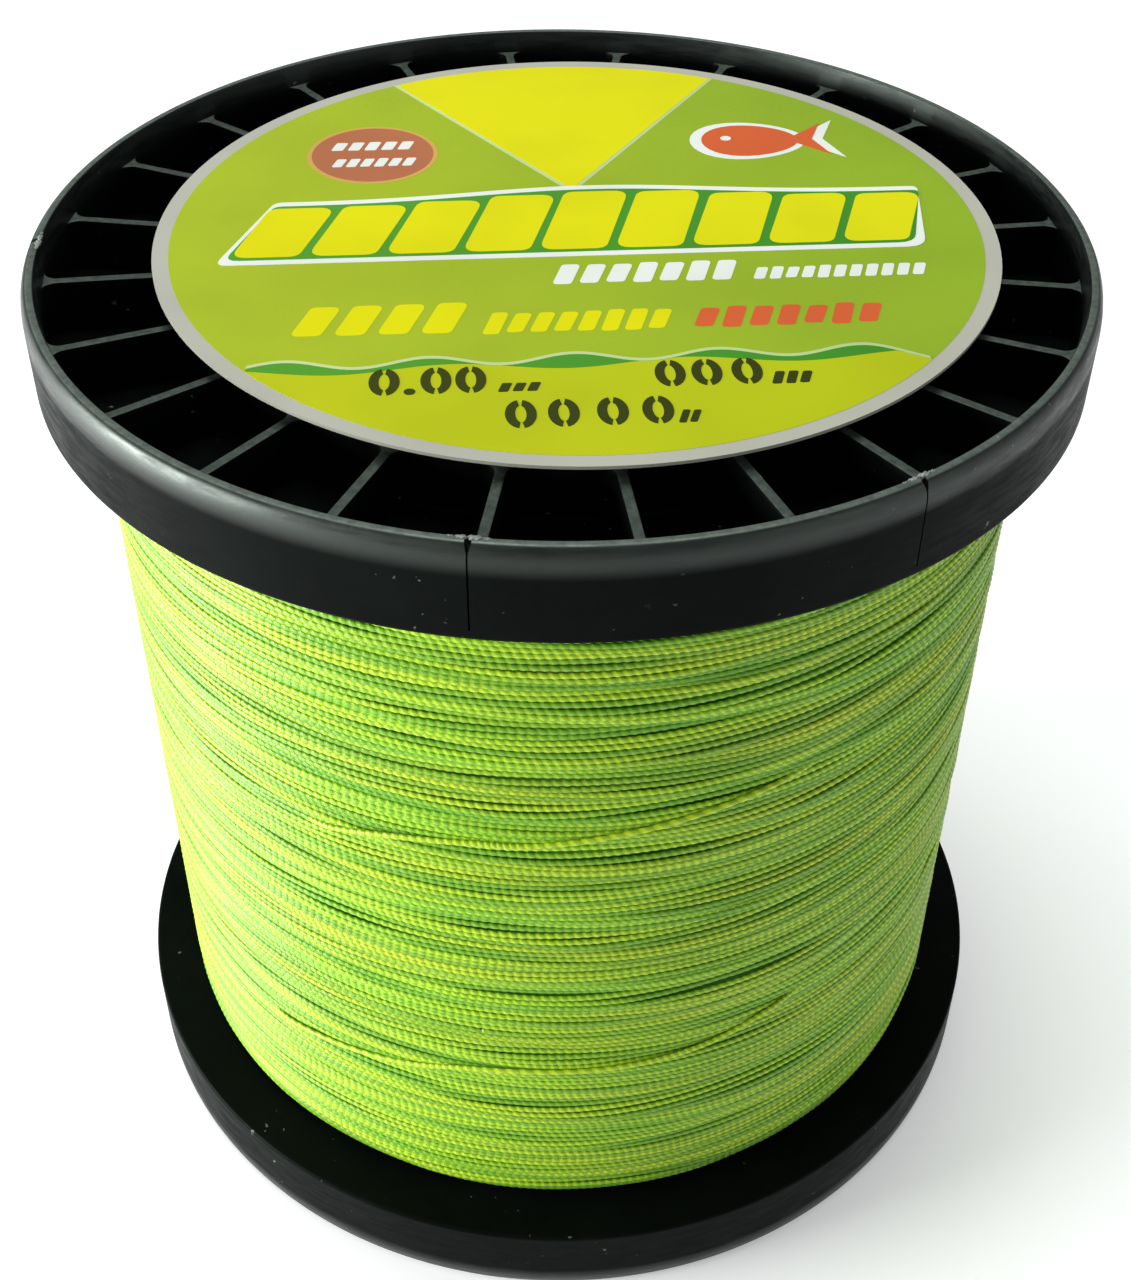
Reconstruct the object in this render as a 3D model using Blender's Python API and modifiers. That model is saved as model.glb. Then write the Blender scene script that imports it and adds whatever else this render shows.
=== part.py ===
"""Bulk spool of braided fishing line, standing on one flange.

Two identical moulded flanges press onto the ends of a core tube. The braid is wound on the
tube between them, and a printed label is stuck on the hub of the upper flange.
Metres, +Z up along the spindle axis, origin at the centre of the face that it stands on.
"""

import math

import bmesh
import bpy
from mathutils import Matrix, Vector

# Whole spool
FLANGE_RADIUS = 0.0500
OVERALL_HEIGHT = 0.0997
FIT_GAP = 0.0003
TURN_STEPS = 72

# Flange rim. Depths are measured inwards from the rim's crest.
RIM_DEPTH = 0.0090
CREST_INNER_RADIUS = 0.0487
CREST_OUTER_RADIUS = 0.0492
CREST_ROUND_DEPTH = 0.0020
CREST_ROUND_STEPS = 4
RIM_INNER_RADIUS = 0.0483
RIM_FILLET = 0.0007
EDGE_CHAMFER = 0.0004
WALL = 0.0016

# Flange hub: a cup that closes the core tube and reaches down into it as a spigot
HUB_FACE_DEPTH = 0.0010
SEAT_RING_RADIUS = 0.0360
SEAT_RING_WALL = 0.0014
SPINDLE_BORE_RADIUS = 0.0100
SPIGOT_LENGTH = 0.0060

# Flange ribs
RIB_COUNT = 24
RIB_THICKNESS = 0.00095
RIB_TOP_DEPTH = 0.0022
RIB_SEAT_DEPTH = 0.0012
RIB_ROOT = 0.0006

# Line keeper slits in the rim, at their angles round the spindle axis
SLIT_WIDTH = 0.0003
SLIT_DEPTH = 0.0080
SLIT_ANGLES = (math.radians(-177.0), math.radians(-98.0), math.radians(-55.5))

# Core tube, with notches at its ends for the keys on the spigots
CORE_RADIUS = 0.0250
CORE_WALL = 0.0018
KEY_COUNT = 4
KEY_WIDTH = 0.0040
KEY_DEPTH = 0.0035

# Wound line, and the tape that holds its first turn on the core
PACK_RADIUS = 0.0449
PACK_EDGE_ROUND = 0.0010
PACK_ROUND_STEPS = 3
TAPE_THICKNESS = 0.0002
TAPE_WIDTH = 0.0180
TAPE_ANGLE = math.radians(150.0)
TAPE_STEPS = 20

# Label
LABEL_RADIUS = 0.0397
LABEL_THICKNESS = 0.0003
LABEL_OFFSET = (0.00135, 0.00115)

# Derived places
SPIGOT_RADIUS = CORE_RADIUS - CORE_WALL - FIT_GAP
WEB_TOP_DEPTH = RIM_DEPTH - WALL
CORE_HEIGHT = OVERALL_HEIGHT - 2 * (RIM_DEPTH + FIT_GAP)
TAPE_RADIUS = CORE_RADIUS + FIT_GAP
PACK_BORE_RADIUS = TAPE_RADIUS + TAPE_THICKNESS + FIT_GAP


def clear_scene():
    for item in list(bpy.data.objects):
        bpy.data.objects.remove(item, do_unlink=True)


def new_collection(name):
    made = bpy.data.collections.new(name)
    bpy.context.scene.collection.children.link(made)
    return made


def plastic(name, colour, roughness):
    """A Principled material with no metal in it."""
    made = bpy.data.materials.new(name)
    made.use_nodes = True
    shader = made.node_tree.nodes["Principled BSDF"]
    shader.inputs["Base Color"].default_value = (*colour, 1.0)
    shader.inputs["Roughness"].default_value = roughness
    shader.inputs["Metallic"].default_value = 0.0
    return made


def new_object(name, mesh, collection, finish=None):
    made = bpy.data.objects.new(name, mesh)
    collection.objects.link(made)
    if finish:
        mesh.materials.append(finish)
    return made


def quarter_round(start, end, steps):
    """Points from start to end on an ellipse that leaves start sideways and meets end upright."""
    points = []
    for step in range(1, steps):
        angle = 0.5 * math.pi * step / steps
        radius = start[0] + (end[0] - start[0]) * math.sin(angle)
        height = end[1] + (start[1] - end[1]) * math.cos(angle)
        points.append((radius, height))
    return [start, *points, end]


def turned(name, outline, collection, finish=None):
    """A closed outline of (radius, height) points, swept once round Z."""
    mesh = bpy.data.meshes.new(name)
    points = [(radius, 0.0, height) for radius, height in outline]
    edges = [(index, (index + 1) % len(points)) for index in range(len(points))]
    mesh.from_pydata(points, edges, [])
    made = new_object(name, mesh, collection, finish)
    sweep = made.modifiers.new("sweep", "SCREW")
    sweep.axis = "Z"
    sweep.steps = TURN_STEPS
    sweep.render_steps = TURN_STEPS
    sweep.use_merge_vertices = True
    sweep.merge_threshold = 0.00001
    sweep.use_smooth_shade = True
    return made


def block(low, high, angle):
    """A box in the radial plane at this angle: x outwards, y sideways, z up."""
    shape = bmesh.new()
    bmesh.ops.create_cube(shape, size=1.0)
    size = Vector(high) - Vector(low)
    middle = (Vector(high) + Vector(low)) / 2
    bmesh.ops.scale(shape, vec=size, verts=shape.verts)
    bmesh.ops.translate(shape, vec=middle, verts=shape.verts)
    bmesh.ops.transform(shape, matrix=Matrix.Rotation(angle, 4, "Z"), verts=shape.verts)
    return shape


def blocks(name, boxes, collection):
    """One helper mesh of several separate boxes, each (low corner, high corner, angle)."""
    whole = bmesh.new()
    mesh = bpy.data.meshes.new(name)
    for low, high, angle in boxes:
        shape = block(low, high, angle)
        shape.to_mesh(mesh)
        whole.from_mesh(mesh)
        shape.free()
    whole.to_mesh(mesh)
    whole.free()
    made = new_object(name, mesh, collection)
    made.hide_render = True
    made.display_type = "WIRE"
    return made


def combine(target, operation, helper):
    modifier = target.modifiers.new(helper.name, "BOOLEAN")
    modifier.operation = operation
    modifier.solver = "EXACT"
    modifier.object = helper


def flange_outline():
    """The flange's section, with its crest at height 0 and its pack side below."""
    hub = SPIGOT_RADIUS
    ring = SEAT_RING_RADIUS
    bore = SPINDLE_BORE_RADIUS
    crest_round = quarter_round(
        (CREST_OUTER_RADIUS, 0.0), (FLANGE_RADIUS, -CREST_ROUND_DEPTH), CREST_ROUND_STEPS
    )
    rim = [
        (CREST_INNER_RADIUS, 0.0),
        *crest_round,
        (FLANGE_RADIUS, EDGE_CHAMFER - RIM_DEPTH),
        (FLANGE_RADIUS - EDGE_CHAMFER, -RIM_DEPTH),
    ]
    spigot = [
        (hub, -RIM_DEPTH),
        (hub, EDGE_CHAMFER - RIM_DEPTH - SPIGOT_LENGTH),
        (hub - EDGE_CHAMFER, -RIM_DEPTH - SPIGOT_LENGTH),
        (hub - WALL, -RIM_DEPTH - SPIGOT_LENGTH),
    ]
    cup = [
        (hub - WALL, -HUB_FACE_DEPTH - WALL),
        (bore, -HUB_FACE_DEPTH - WALL),
        (bore, -HUB_FACE_DEPTH),
        (hub, -HUB_FACE_DEPTH),
        (hub, -WEB_TOP_DEPTH),
    ]
    seat_ring = [
        (ring - SEAT_RING_WALL, -WEB_TOP_DEPTH),
        (ring - SEAT_RING_WALL, -HUB_FACE_DEPTH),
        (ring, -HUB_FACE_DEPTH),
        (ring, -WEB_TOP_DEPTH),
    ]
    rim_inside = [
        (RIM_INNER_RADIUS - RIM_FILLET, -WEB_TOP_DEPTH),
        (RIM_INNER_RADIUS, RIM_FILLET - WEB_TOP_DEPTH),
        (RIM_INNER_RADIUS, -RIB_TOP_DEPTH),
    ]
    return rim + spigot + cup + seat_ring + rim_inside


def rib_boxes():
    """Each rib is low between the seat ring and the rim, and high between the hub and the seat ring."""
    half = RIB_THICKNESS / 2
    root = -WEB_TOP_DEPTH - RIB_ROOT
    ring_middle = SEAT_RING_RADIUS - SEAT_RING_WALL / 2
    boxes = []
    for index in range(RIB_COUNT):
        angle = 2 * math.pi * (index + 0.5) / RIB_COUNT
        inner_end = SPIGOT_RADIUS - RIB_ROOT
        outer_end = RIM_INNER_RADIUS + RIB_ROOT
        boxes.append(((inner_end, -half, root), (ring_middle, half, -RIB_SEAT_DEPTH), angle))
        boxes.append(((ring_middle + FIT_GAP, -half, root), (outer_end, half, -RIB_TOP_DEPTH), angle))
    return boxes


def slit_boxes():
    half = SLIT_WIDTH / 2
    reach = 2 * WALL
    low = (RIM_INNER_RADIUS - FIT_GAP, -half, -SLIT_DEPTH)
    high = (FLANGE_RADIUS + reach, half, reach)
    return [(low, high, angle) for angle in SLIT_ANGLES]


def key_boxes(radius_low, radius_high, height_low, height_high, margin):
    half = KEY_WIDTH / 2 + margin
    boxes = []
    for index in range(KEY_COUNT):
        angle = 2 * math.pi * index / KEY_COUNT
        boxes.append(((radius_low, -half, height_low), (radius_high, half, height_high), angle))
    return boxes


def make_flange(name, collection, helpers, finish):
    """One flange moulding, with its crest at its own origin, facing +Z."""
    flange = turned(name, flange_outline(), collection, finish)
    keys = key_boxes(
        SPIGOT_RADIUS - RIB_ROOT,
        CORE_RADIUS - FIT_GAP,
        -RIM_DEPTH - KEY_DEPTH,
        RIB_ROOT - RIM_DEPTH,
        0.0,
    )
    for operation, suffix, boxes in (
        ("UNION", "ribs", rib_boxes()),
        ("UNION", "keys", keys),
        ("DIFFERENCE", "slits", slit_boxes()),
    ):
        helper = blocks(f"{name}_{suffix}", boxes, helpers)
        helper.parent = flange
        combine(flange, operation, helper)
    return flange


def make_core_tube(collection, helpers, finish):
    inner = CORE_RADIUS - CORE_WALL
    outline = [
        (inner, CORE_HEIGHT),
        (CORE_RADIUS, CORE_HEIGHT),
        (CORE_RADIUS, 0.0),
        (inner, 0.0),
    ]
    core = turned("core_tube", outline, collection, finish)
    core.location.z = RIM_DEPTH + FIT_GAP
    reach = 2 * WALL
    for suffix, low, high in (
        ("lower", -reach, KEY_DEPTH),
        ("upper", CORE_HEIGHT - KEY_DEPTH, CORE_HEIGHT + reach),
    ):
        notches = key_boxes(inner - reach, CORE_RADIUS + reach, low, high, FIT_GAP)
        helper = blocks(f"core_tube_{suffix}_notches", notches, helpers)
        helper.parent = core
        combine(core, "DIFFERENCE", helper)
    return core


def make_line_pack(collection, finish):
    """The space that the wound line fills, as one plain ring."""
    height = CORE_HEIGHT
    edge = PACK_RADIUS - PACK_EDGE_ROUND
    upper = quarter_round((edge, height), (PACK_RADIUS, height - PACK_EDGE_ROUND), PACK_ROUND_STEPS)
    lower = [(radius, height - top) for radius, top in reversed(upper)]
    outline = [(PACK_BORE_RADIUS, height), *upper, *lower, (PACK_BORE_RADIUS, 0.0)]
    pack = turned("line_pack", outline, collection, finish)
    pack.location.z = RIM_DEPTH + FIT_GAP
    return pack


def make_start_tape(collection, finish):
    """A strip of tape bent round the middle of the core."""
    mesh = bpy.data.meshes.new("start_tape")
    shape = bmesh.new()
    columns = []
    for step in range(TAPE_STEPS + 1):
        angle = TAPE_ANGLE * (step / TAPE_STEPS - 0.5)
        place = (TAPE_RADIUS * math.cos(angle), TAPE_RADIUS * math.sin(angle))
        columns.append([shape.verts.new((*place, side * TAPE_WIDTH / 2)) for side in (-1, 1)])
    for (low, high), (next_low, next_high) in zip(columns, columns[1:]):
        shape.faces.new((low, next_low, next_high, high))
    shape.to_mesh(mesh)
    shape.free()
    tape = new_object("start_tape", mesh, collection, finish)
    tape.location.z = OVERALL_HEIGHT / 2
    skin = tape.modifiers.new("thickness", "SOLIDIFY")
    skin.thickness = TAPE_THICKNESS
    skin.offset = 1.0
    return tape


def make_label(collection, finish):
    """The printed disc, stuck a little off centre on the hub."""
    mesh = bpy.data.meshes.new("upper_label")
    shape = bmesh.new()
    bmesh.ops.create_cone(
        shape,
        cap_ends=True,
        segments=TURN_STEPS,
        radius1=LABEL_RADIUS,
        radius2=LABEL_RADIUS,
        depth=LABEL_THICKNESS,
    )
    shape.to_mesh(mesh)
    shape.free()
    label = new_object("upper_label", mesh, collection, finish)
    top = OVERALL_HEIGHT - HUB_FACE_DEPTH + FIT_GAP + LABEL_THICKNESS
    label.location = (*LABEL_OFFSET, top - LABEL_THICKNESS / 2)
    return label


def build():
    clear_scene()
    parts = new_collection("fishing_line_spool")
    helpers = new_collection("cutters")
    black = plastic("black_moulded_plastic", (0.012, 0.013, 0.014), 0.42)
    grey = plastic("core_plastic", (0.030, 0.031, 0.033), 0.50)
    braid = plastic("lime_braid", (0.30, 0.62, 0.02), 0.55)
    printed = plastic("label_print", (0.42, 0.56, 0.06), 0.35)
    tape = plastic("tape", (0.72, 0.66, 0.50), 0.45)

    upper = make_flange("upper_flange", parts, helpers, black)
    upper.location.z = OVERALL_HEIGHT
    lower = make_flange("lower_flange", parts, helpers, black.copy())
    lower.rotation_euler.x = math.pi
    make_core_tube(parts, helpers, grey)
    make_start_tape(parts, tape)
    make_line_pack(parts, braid)
    make_label(parts, printed)


build()
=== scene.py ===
"""Looks of the bulk spool of braided line: flanges, wound line, printed label, studio and camera."""

import math

import bmesh
import bpy
import numpy as np
from mathutils import Matrix, Vector
from mathutils.geometry import tessellate_polygon


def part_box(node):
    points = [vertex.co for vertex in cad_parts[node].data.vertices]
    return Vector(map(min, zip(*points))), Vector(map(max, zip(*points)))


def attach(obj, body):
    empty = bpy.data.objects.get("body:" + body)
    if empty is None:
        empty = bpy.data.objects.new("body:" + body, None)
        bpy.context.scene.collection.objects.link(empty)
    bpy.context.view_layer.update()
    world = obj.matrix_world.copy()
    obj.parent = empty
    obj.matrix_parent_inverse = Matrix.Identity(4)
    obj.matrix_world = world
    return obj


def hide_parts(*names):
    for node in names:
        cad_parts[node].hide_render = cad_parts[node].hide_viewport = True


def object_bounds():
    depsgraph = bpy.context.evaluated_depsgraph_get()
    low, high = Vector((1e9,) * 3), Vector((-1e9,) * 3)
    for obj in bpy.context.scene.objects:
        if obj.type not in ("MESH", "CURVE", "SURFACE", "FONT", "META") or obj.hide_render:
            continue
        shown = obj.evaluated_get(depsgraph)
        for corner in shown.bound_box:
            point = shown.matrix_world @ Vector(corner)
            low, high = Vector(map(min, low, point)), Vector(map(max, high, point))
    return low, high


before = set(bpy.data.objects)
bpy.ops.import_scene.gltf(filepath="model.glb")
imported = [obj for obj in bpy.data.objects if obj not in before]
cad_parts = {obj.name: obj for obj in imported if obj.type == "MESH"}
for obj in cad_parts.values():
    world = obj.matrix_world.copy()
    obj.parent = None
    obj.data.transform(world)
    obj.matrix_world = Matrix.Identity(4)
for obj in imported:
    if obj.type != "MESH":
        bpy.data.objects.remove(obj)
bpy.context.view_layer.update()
MM = 0.001
BODY = "root"
RANDOM = np.random.default_rng(7)

# Places read from the frame
BASE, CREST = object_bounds()
HEIGHT = CREST.z - BASE.z
FLANGE_RADIUS = (CREST.x - BASE.x) / 2
PACK_LOW, PACK_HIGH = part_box("line_pack")
PACK_RADIUS = PACK_HIGH.x
LABEL_LOW, LABEL_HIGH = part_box("upper_label")
LABEL_CENTRE = (LABEL_LOW + LABEL_HIGH) / 2
LABEL_RADIUS = (LABEL_HIGH.x - LABEL_LOW.x) / 2
LABEL_TOP = LABEL_HIGH.z
CORE_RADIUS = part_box("core_tube")[1].x
SPIGOT_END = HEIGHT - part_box("upper_flange")[0].z

# Flange section. Depths run inwards from the rim's crest.
RIM_DEPTH = 9.0 * MM
RIB_TOP_DEPTH = 2.2 * MM
RIB_SEAT_DEPTH = 1.2 * MM
HUB_FACE_DEPTH = 1.0 * MM
WALL = 1.6 * MM
WEB_TOP_DEPTH = RIM_DEPTH - WALL
RIM_INNER_RADIUS = 48.3 * MM
CREST_INNER_RADIUS = 48.7 * MM
CREST_OUTER_RADIUS = 49.2 * MM
CREST_ROUND_DEPTH = 2.0 * MM
SEAT_RING_RADIUS = 36.0 * MM
SEAT_RING_WALL = 1.4 * MM
SPIGOT_RADIUS = 22.9 * MM
BORE_RADIUS = 10.0 * MM
RIB_COUNT = 24
RIB_THICKNESS = 0.95 * MM
SLIT_ANGLES = [math.radians(angle) for angle in (-177.0, -98.0, -55.5)]
TURN_STEPS = 384

# Wound line
STRAND_RADIUS = 0.30 * MM
STRAND_PITCH = 0.60 * MM
PICK = 0.86 * MM
PICK_SLANT = 1.9
LINE_PIECES = 6
SINK_DEPTH = 0.14 * MM
CROWD_RISE = 0.07 * MM
SWAY = 0.25 * MM
WAVER = 0.04 * MM
END_ROUNDING = 0.55 * MM
UNDER_LAYER_DEPTH = 0.72 * MM


# ---------------------------------------------------------------- meshes


def mesh_object(name, points, faces, material, smooth=True):
    mesh = bpy.data.meshes.new(name)
    mesh.from_pydata([tuple(point) for point in points], [], faces)
    return place(name, mesh, material, smooth)


def place(name, mesh, material, smooth=True):
    mesh.update()
    mesh.polygons.foreach_set("use_smooth", [smooth] * len(mesh.polygons))
    made = bpy.data.objects.new(name, mesh)
    bpy.context.scene.collection.objects.link(made)
    if material:
        mesh.materials.append(material)
    return made


def grid_faces(rows, columns, closed_rows, closed_columns):
    """Quads of a rows by columns grid of points, as an array of corner indices."""
    row = np.arange(rows if closed_rows else rows - 1)
    column = np.arange(columns if closed_columns else columns - 1)
    r, c = np.meshgrid(row, column, indexing="ij")
    r_next, c_next = (r + 1) % rows, (c + 1) % columns
    corners = [r * columns + c, r_next * columns + c, r_next * columns + c_next, r * columns + c_next]
    return np.stack(corners, axis=-1).reshape(-1, 4)


def fast_mesh(name, points, quads, caps=()):
    """A mesh from arrays: quads, and a few larger faces that close the ends."""
    mesh = bpy.data.meshes.new(name)
    sizes = np.array([4] * len(quads) + [len(cap) for cap in caps], np.int32)
    corners = np.concatenate([quads.reshape(-1), *[np.array(cap) for cap in caps]]).astype(np.int32)
    mesh.vertices.add(len(points))
    mesh.vertices.foreach_set("co", np.asarray(points, np.float32).reshape(-1))
    mesh.loops.add(len(corners))
    mesh.loops.foreach_set("vertex_index", corners)
    mesh.polygons.add(len(sizes))
    starts = np.concatenate([[0], np.cumsum(sizes)[:-1]]).astype(np.int32)
    mesh.polygons.foreach_set("loop_start", starts)
    mesh.polygons.foreach_set("loop_total", sizes)
    mesh.update(calc_edges=True)
    return mesh


def lathe(name, outline, material, steps=TURN_STEPS):
    """A closed outline of (radius, height) points turned round Z. It runs down its outer side."""
    angles = 2 * math.pi * np.arange(steps) / steps
    radius, height = np.array(outline).T
    x = np.cos(angles)[:, None] * radius
    y = np.sin(angles)[:, None] * radius
    z = np.ones(steps)[:, None] * height
    points = np.stack([x, y, z], axis=-1).reshape(-1, 3)
    quads = grid_faces(steps, len(outline), True, True)[:, ::-1]
    return place(name, fast_mesh(name, points, quads), material)


def fillet(outline, radius, steps=4):
    """The closed outline with its corners rounded. radius is one number, or one for each corner."""
    radii = [radius] * len(outline) if isinstance(radius, float) else radius
    rounded = []
    for index, corner in enumerate(outline):
        here = Vector(corner)
        back = Vector(outline[index - 1]) - here
        ahead = Vector(outline[(index + 1) % len(outline)]) - here
        half = back.angle(ahead) / 2
        if radii[index] == 0 or abs(half - math.pi / 2) < 1e-3:
            rounded.append(tuple(here))
            continue
        cut = min(radii[index] / math.tan(half), 0.49 * back.length, 0.49 * ahead.length)
        start, end = here + back.normalized() * cut, here + ahead.normalized() * cut
        for step in range(steps + 1):
            t = step / steps
            rounded.append(tuple((1 - t) ** 2 * start + 2 * t * (1 - t) * here + t * t * end))
    return rounded


def loft(name, sections, material=None):
    """A closed solid through sections, which are closed rows of points with one count."""
    rows, columns = len(sections), len(sections[0])
    points = np.array(sections, float).reshape(-1, 3)
    quads = grid_faces(rows, columns, False, True)
    caps = [list(range(columns)), list(range((rows - 1) * columns, rows * columns))[::-1]]
    return place(name, fast_mesh(name, points, quads, caps), material)


def prism(name, outline, low, high, material=None):
    """A closed outline of (x, y) points, anticlockwise, as a solid between two heights."""
    count = len(outline)
    points = [(x, y, low) for x, y in outline] + [(x, y, high) for x, y in outline]
    triangles = tessellate_polygon([[Vector((x, y, 0)) for x, y in outline]])
    faces = []
    for a, b, c in triangles:
        side = (Vector(outline[b]) - Vector(outline[a])).cross(Vector(outline[c]) - Vector(outline[a]))
        a, b, c = (a, b, c) if side > 0 else (a, c, b)
        faces += [(a + count, b + count, c + count), (c, b, a)]
    for index in range(count):
        following = (index + 1) % count
        faces.append((index, following, following + count, index + count))
    return mesh_object(name, points, faces, material, smooth=False)


def joined(name, objects):
    """The objects as one, named name."""
    bpy.ops.object.select_all(action="DESELECT")
    for item in objects:
        item.select_set(True)
    bpy.context.view_layer.objects.active = objects[0]
    bpy.ops.object.join()
    objects[0].name = name
    return objects[0]


def apply_modifiers(target):
    graph = bpy.context.evaluated_depsgraph_get()
    mesh = bpy.data.meshes.new_from_object(target.evaluated_get(graph))
    target.modifiers.clear()
    target.data = mesh


def combine(target, operation, helper):
    step = target.modifiers.new("combine", "BOOLEAN")
    step.operation = operation
    step.solver = "EXACT"
    step.object = helper
    apply_modifiers(target)
    bpy.data.objects.remove(helper)


def outward(target):
    """Turns the faces of closed shapes outwards."""
    shape = bmesh.new()
    shape.from_mesh(target.data)
    bmesh.ops.recalc_face_normals(shape, faces=shape.faces)
    shape.to_mesh(target.data)
    shape.free()


# ---------------------------------------------------------------- materials


def material(name, **settings):
    """(material, its node tree, its shader). The settings go on the shader's own sockets."""
    made = bpy.data.materials.new(name)
    made.use_nodes = True
    shader = made.node_tree.nodes["Principled BSDF"]
    for socket, value in settings.items():
        shader.inputs[socket.replace("_", " ")].default_value = value
    return made, made.node_tree, shader


def node(tree, kind, inputs=(), **settings):
    """A node with its settings, whose inputs are linked from sockets or set to values."""
    made = tree.nodes.new(f"ShaderNode{kind}")
    for key, value in settings.items():
        setattr(made, key, value)
    for socket, value in dict(inputs).items():
        if isinstance(value, bpy.types.NodeSocket):
            tree.links.new(value, made.inputs[socket])
        else:
            made.inputs[socket].default_value = value
    return made


def drive(tree, shader, **sources):
    """Links each node output to the shader's socket of that name."""
    for socket, source in sources.items():
        tree.links.new(source, shader.inputs[socket.replace("_", " ")])


def rgba(red, green, blue):
    return (red, green, blue, 1.0)


def object_place(tree, stretch=(1.0, 1.0, 1.0)):
    place_node = node(tree, "TexCoord")
    return node(tree, "Mapping", {"Vector": place_node.outputs["Object"], "Scale": stretch}).outputs[0]


def noise(tree, where, scale, detail=2.0, roughness=0.5):
    made = node(
        tree, "TexNoise", {"Vector": where, "Scale": scale, "Detail": detail, "Roughness": roughness}
    )
    return made.outputs["Fac"]


def ramp(tree, value, low, high, to_low=0.0, to_high=1.0, smooth=True):
    kind = "SMOOTHSTEP" if smooth else "LINEAR"
    made = node(
        tree,
        "MapRange",
        {"Value": value, "From Min": low, "From Max": high, "To Min": to_low, "To Max": to_high},
        interpolation_type=kind,
    )
    return made.outputs["Result"]


def maths(tree, operation, first, second=0.0):
    return node(tree, "Math", {0: first, 1: second}, operation=operation).outputs[0]


MIX_FACTOR, MIX_FIRST, MIX_SECOND, MIX_RESULT = 0, 6, 7, 2


def mix(tree, factor, first, second):
    inputs = {MIX_FACTOR: factor, MIX_FIRST: first, MIX_SECOND: second}
    return node(tree, "Mix", inputs, data_type="RGBA").outputs[MIX_RESULT]


def bump(tree, shader, height, strength, distance):
    made = node(tree, "Bump", {"Height": height, "Strength": strength, "Distance": distance})
    drive(tree, shader, Normal=made.outputs["Normal"])


def crest_depth(tree, where):
    """How far a point lies inside the nearer flange's crest plane."""
    height = node(tree, "SeparateXYZ", {0: where}).outputs["Z"]
    from_middle = maths(tree, "ABSOLUTE", maths(tree, "SUBTRACT", height, HEIGHT / 2))
    return maths(tree, "SUBTRACT", HEIGHT / 2, from_middle)


def flatness(tree):
    """1 on faces that look straight up or down, 0 on walls."""
    normal = node(tree, "NewGeometry").outputs["Normal"]
    upright = maths(tree, "ABSOLUTE", node(tree, "SeparateXYZ", {0: normal}).outputs["Z"])
    return ramp(tree, upright, 0.80, 0.97)


def black_plastic():
    """Moulded black plastic: a scuffed satin crest, a duller band, dust on the tops of the ribs. The
    dust is kept near the crest, so the deep pockets stay black as painted shade.
    """
    tint = rgba(0.88, 1.0, 0.91)
    made, tree, shader = material("black_plastic", Specular_IOR_Level=0.2, Specular_Tint=tint)
    where = object_place(tree)
    depth = crest_depth(tree, where)
    cloud = noise(tree, where, 95.0, 4.0, 0.6)
    grain = noise(tree, where, 1500.0, 3.0, 0.6)
    body_colour = mix(tree, cloud, rgba(0.0008, 0.0012, 0.0010), rgba(0.0045, 0.0060, 0.0052))
    # Dust on flat faces near the crest only. The deep pockets get none and stay black as painted shade.
    near_crest = ramp(tree, depth, 3.4 * MM, 1.6 * MM)
    dust_and_pocket_shade = maths(tree, "MULTIPLY", maths(tree, "MULTIPLY", near_crest, flatness(tree)), grain)
    dusty_with_pocket_shade = mix(tree, dust_and_pocket_shade, body_colour, rgba(0.15, 0.19, 0.155))
    speck_places = ramp(tree, noise(tree, where, 1100.0, 2.0, 0.5), 0.705, 0.745)
    specks = maths(tree, "MULTIPLY", speck_places, ramp(tree, cloud, 0.50, 0.62))
    colour = mix(tree, maths(tree, "MULTIPLY", specks, 0.45), dusty_with_pocket_shade, rgba(0.30, 0.32, 0.30))
    shine = ramp(tree, depth, 3.0 * MM, 1.0 * MM, 0.03, 0.62)
    scuffs = noise(tree, object_place(tree, (1.0, 1.0, 7.0)), 260.0, 5.0, 0.7)
    rough = ramp(tree, scuffs, 0.3, 0.7, 0.34, 0.54)
    drive(tree, shader, Base_Color=colour, Specular_IOR_Level=shine, Roughness=rough)
    bump(tree, shader, maths(tree, "ADD", grain, cloud), 0.25, 0.04 * MM)
    return made


def pale_flash():
    """Torn, whitened plastic at the lips of the slits."""
    made, tree, shader = material("pale_flash", Specular_IOR_Level=0.4)
    grain = noise(tree, object_place(tree), 2600.0, 3.0)
    colour = mix(tree, grain, rgba(0.05, 0.06, 0.055), rgba(0.42, 0.45, 0.42))
    drive(tree, shader, Base_Color=colour, Roughness=ramp(tree, grain, 0.2, 0.8, 0.45, 0.7))
    return made


def core_plastic():
    """Dark grey moulded tube, seen only through the bore."""
    made, tree, shader = material("core_plastic", Specular_IOR_Level=0.4)
    cloud = noise(tree, object_place(tree, (1.0, 1.0, 0.3)), 140.0, 4.0)
    colour = mix(tree, cloud, rgba(0.010, 0.011, 0.012), rgba(0.03, 0.032, 0.033))
    drive(tree, shader, Base_Color=colour, Roughness=ramp(tree, cloud, 0.3, 0.7, 0.4, 0.6))
    bump(tree, shader, cloud, 0.2, 0.05 * MM)
    return made


def tape_film():
    """Creased cream tape that holds the first turn."""
    made, tree, shader = material("tape_film", Specular_IOR_Level=0.5)
    crease = noise(tree, object_place(tree, (1.0, 1.0, 5.0)), 300.0, 3.0)
    colour = mix(tree, crease, rgba(0.62, 0.55, 0.38), rgba(0.80, 0.74, 0.58))
    drive(tree, shader, Base_Color=colour, Roughness=ramp(tree, crease, 0.2, 0.8, 0.3, 0.5))
    bump(tree, shader, crease, 0.3, 0.03 * MM)
    return made


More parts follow.
